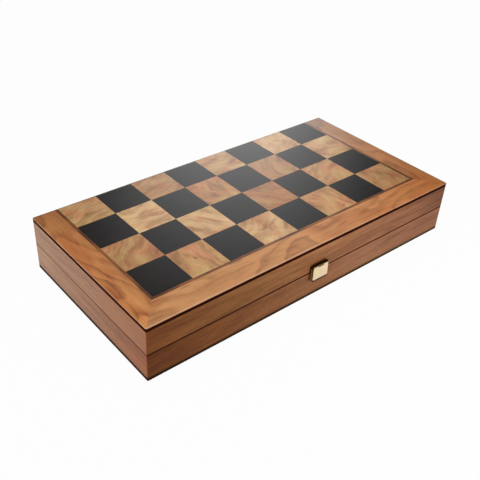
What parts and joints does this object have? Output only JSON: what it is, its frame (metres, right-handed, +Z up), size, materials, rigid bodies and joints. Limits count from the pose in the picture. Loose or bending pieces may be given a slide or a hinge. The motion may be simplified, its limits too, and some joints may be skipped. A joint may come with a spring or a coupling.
{
  "type": "folding games box",
  "caption": "Folding wooden games case: chequered board outside, backgammon trays inside, butt hinges along the back and a brass flap clasp in front.",
  "frame": {"origin": "centre of the flat face that the closed case lies on", "axes": "+X along the case, -Y towards the clasp, +Y towards the hinges, +Z up through the lid"},
  "size_m": [0.38, 0.1978, 0.058],
  "materials": {
    "walnut": "satin lacquered walnut",
    "dark_edge": "dark stained, lacquered",
    "border_wood": "satin lacquered figured veneer",
    "stringing": "satin lacquered veneer",
    "dark_squares": "black-dyed veneer, lacquered",
    "light_burl": "lacquered burl veneer",
    "tray_wood": "matt lacquered veneer",
    "dark_points": "matt lacquered veneer",
    "light_points": "matt lacquered veneer",
    "brass": "polished",
    "steel": "plain"
  },
  "bodies": {
    "lower_case": {"lower_front_wall": "walnut", "lower_back_wall": "walnut", "lower_left_wall": "walnut", "lower_right_wall": "walnut", "lower_panel": "dark_edge", "lower_front_border": "border_wood", "lower_left_border": "border_wood", "lower_right_border": "border_wood", "lower_stringing": "stringing", "lower_dark_squares": "dark_squares", "lower_light_squares": "light_burl", "lower_field": "tray_wood", "lower_dark_points": "dark_points", "lower_light_points": "light_points", "left_hinge_lower_leaf": "brass", "right_hinge_lower_leaf": "brass", "left_hinge_pin": "steel", "right_hinge_pin": "steel", "lower_hinge_screws": "brass", "clasp_stud": "brass"},
    "lid": {"lid_front_wall": "walnut", "lid_back_wall": "walnut", "lid_left_wall": "walnut", "lid_right_wall": "walnut", "lid_panel": "dark_edge", "lid_front_border": "border_wood", "lid_left_border": "border_wood", "lid_right_border": "border_wood", "lid_stringing": "stringing", "lid_dark_squares": "dark_squares", "lid_light_squares": "light_burl", "lid_field": "tray_wood", "lid_dark_points": "dark_points", "lid_light_points": "light_points", "left_hinge_lid_leaf": "brass", "right_hinge_lid_leaf": "brass", "lid_hinge_screws": "brass", "clasp_leaf": "brass", "clasp_screws": "brass", "clasp_pin": "steel"},
    "clasp": {"clasp_flap": "brass"}
  },
  "joints": [
    {"name": "lid_hinge", "type": "hinge", "parent": "lower_case", "child": "lid", "pos_m": [0, 0.09565, 0.029], "axis": [-1, 0, 0], "range_deg": [0, 180]},
    {"name": "clasp_hinge", "type": "hinge", "parent": "lid", "child": "clasp", "pos_m": [0.0015, -0.0977, 0.0362], "axis": [-1, 0, 0], "range_deg": [0, 175]}
  ]
}
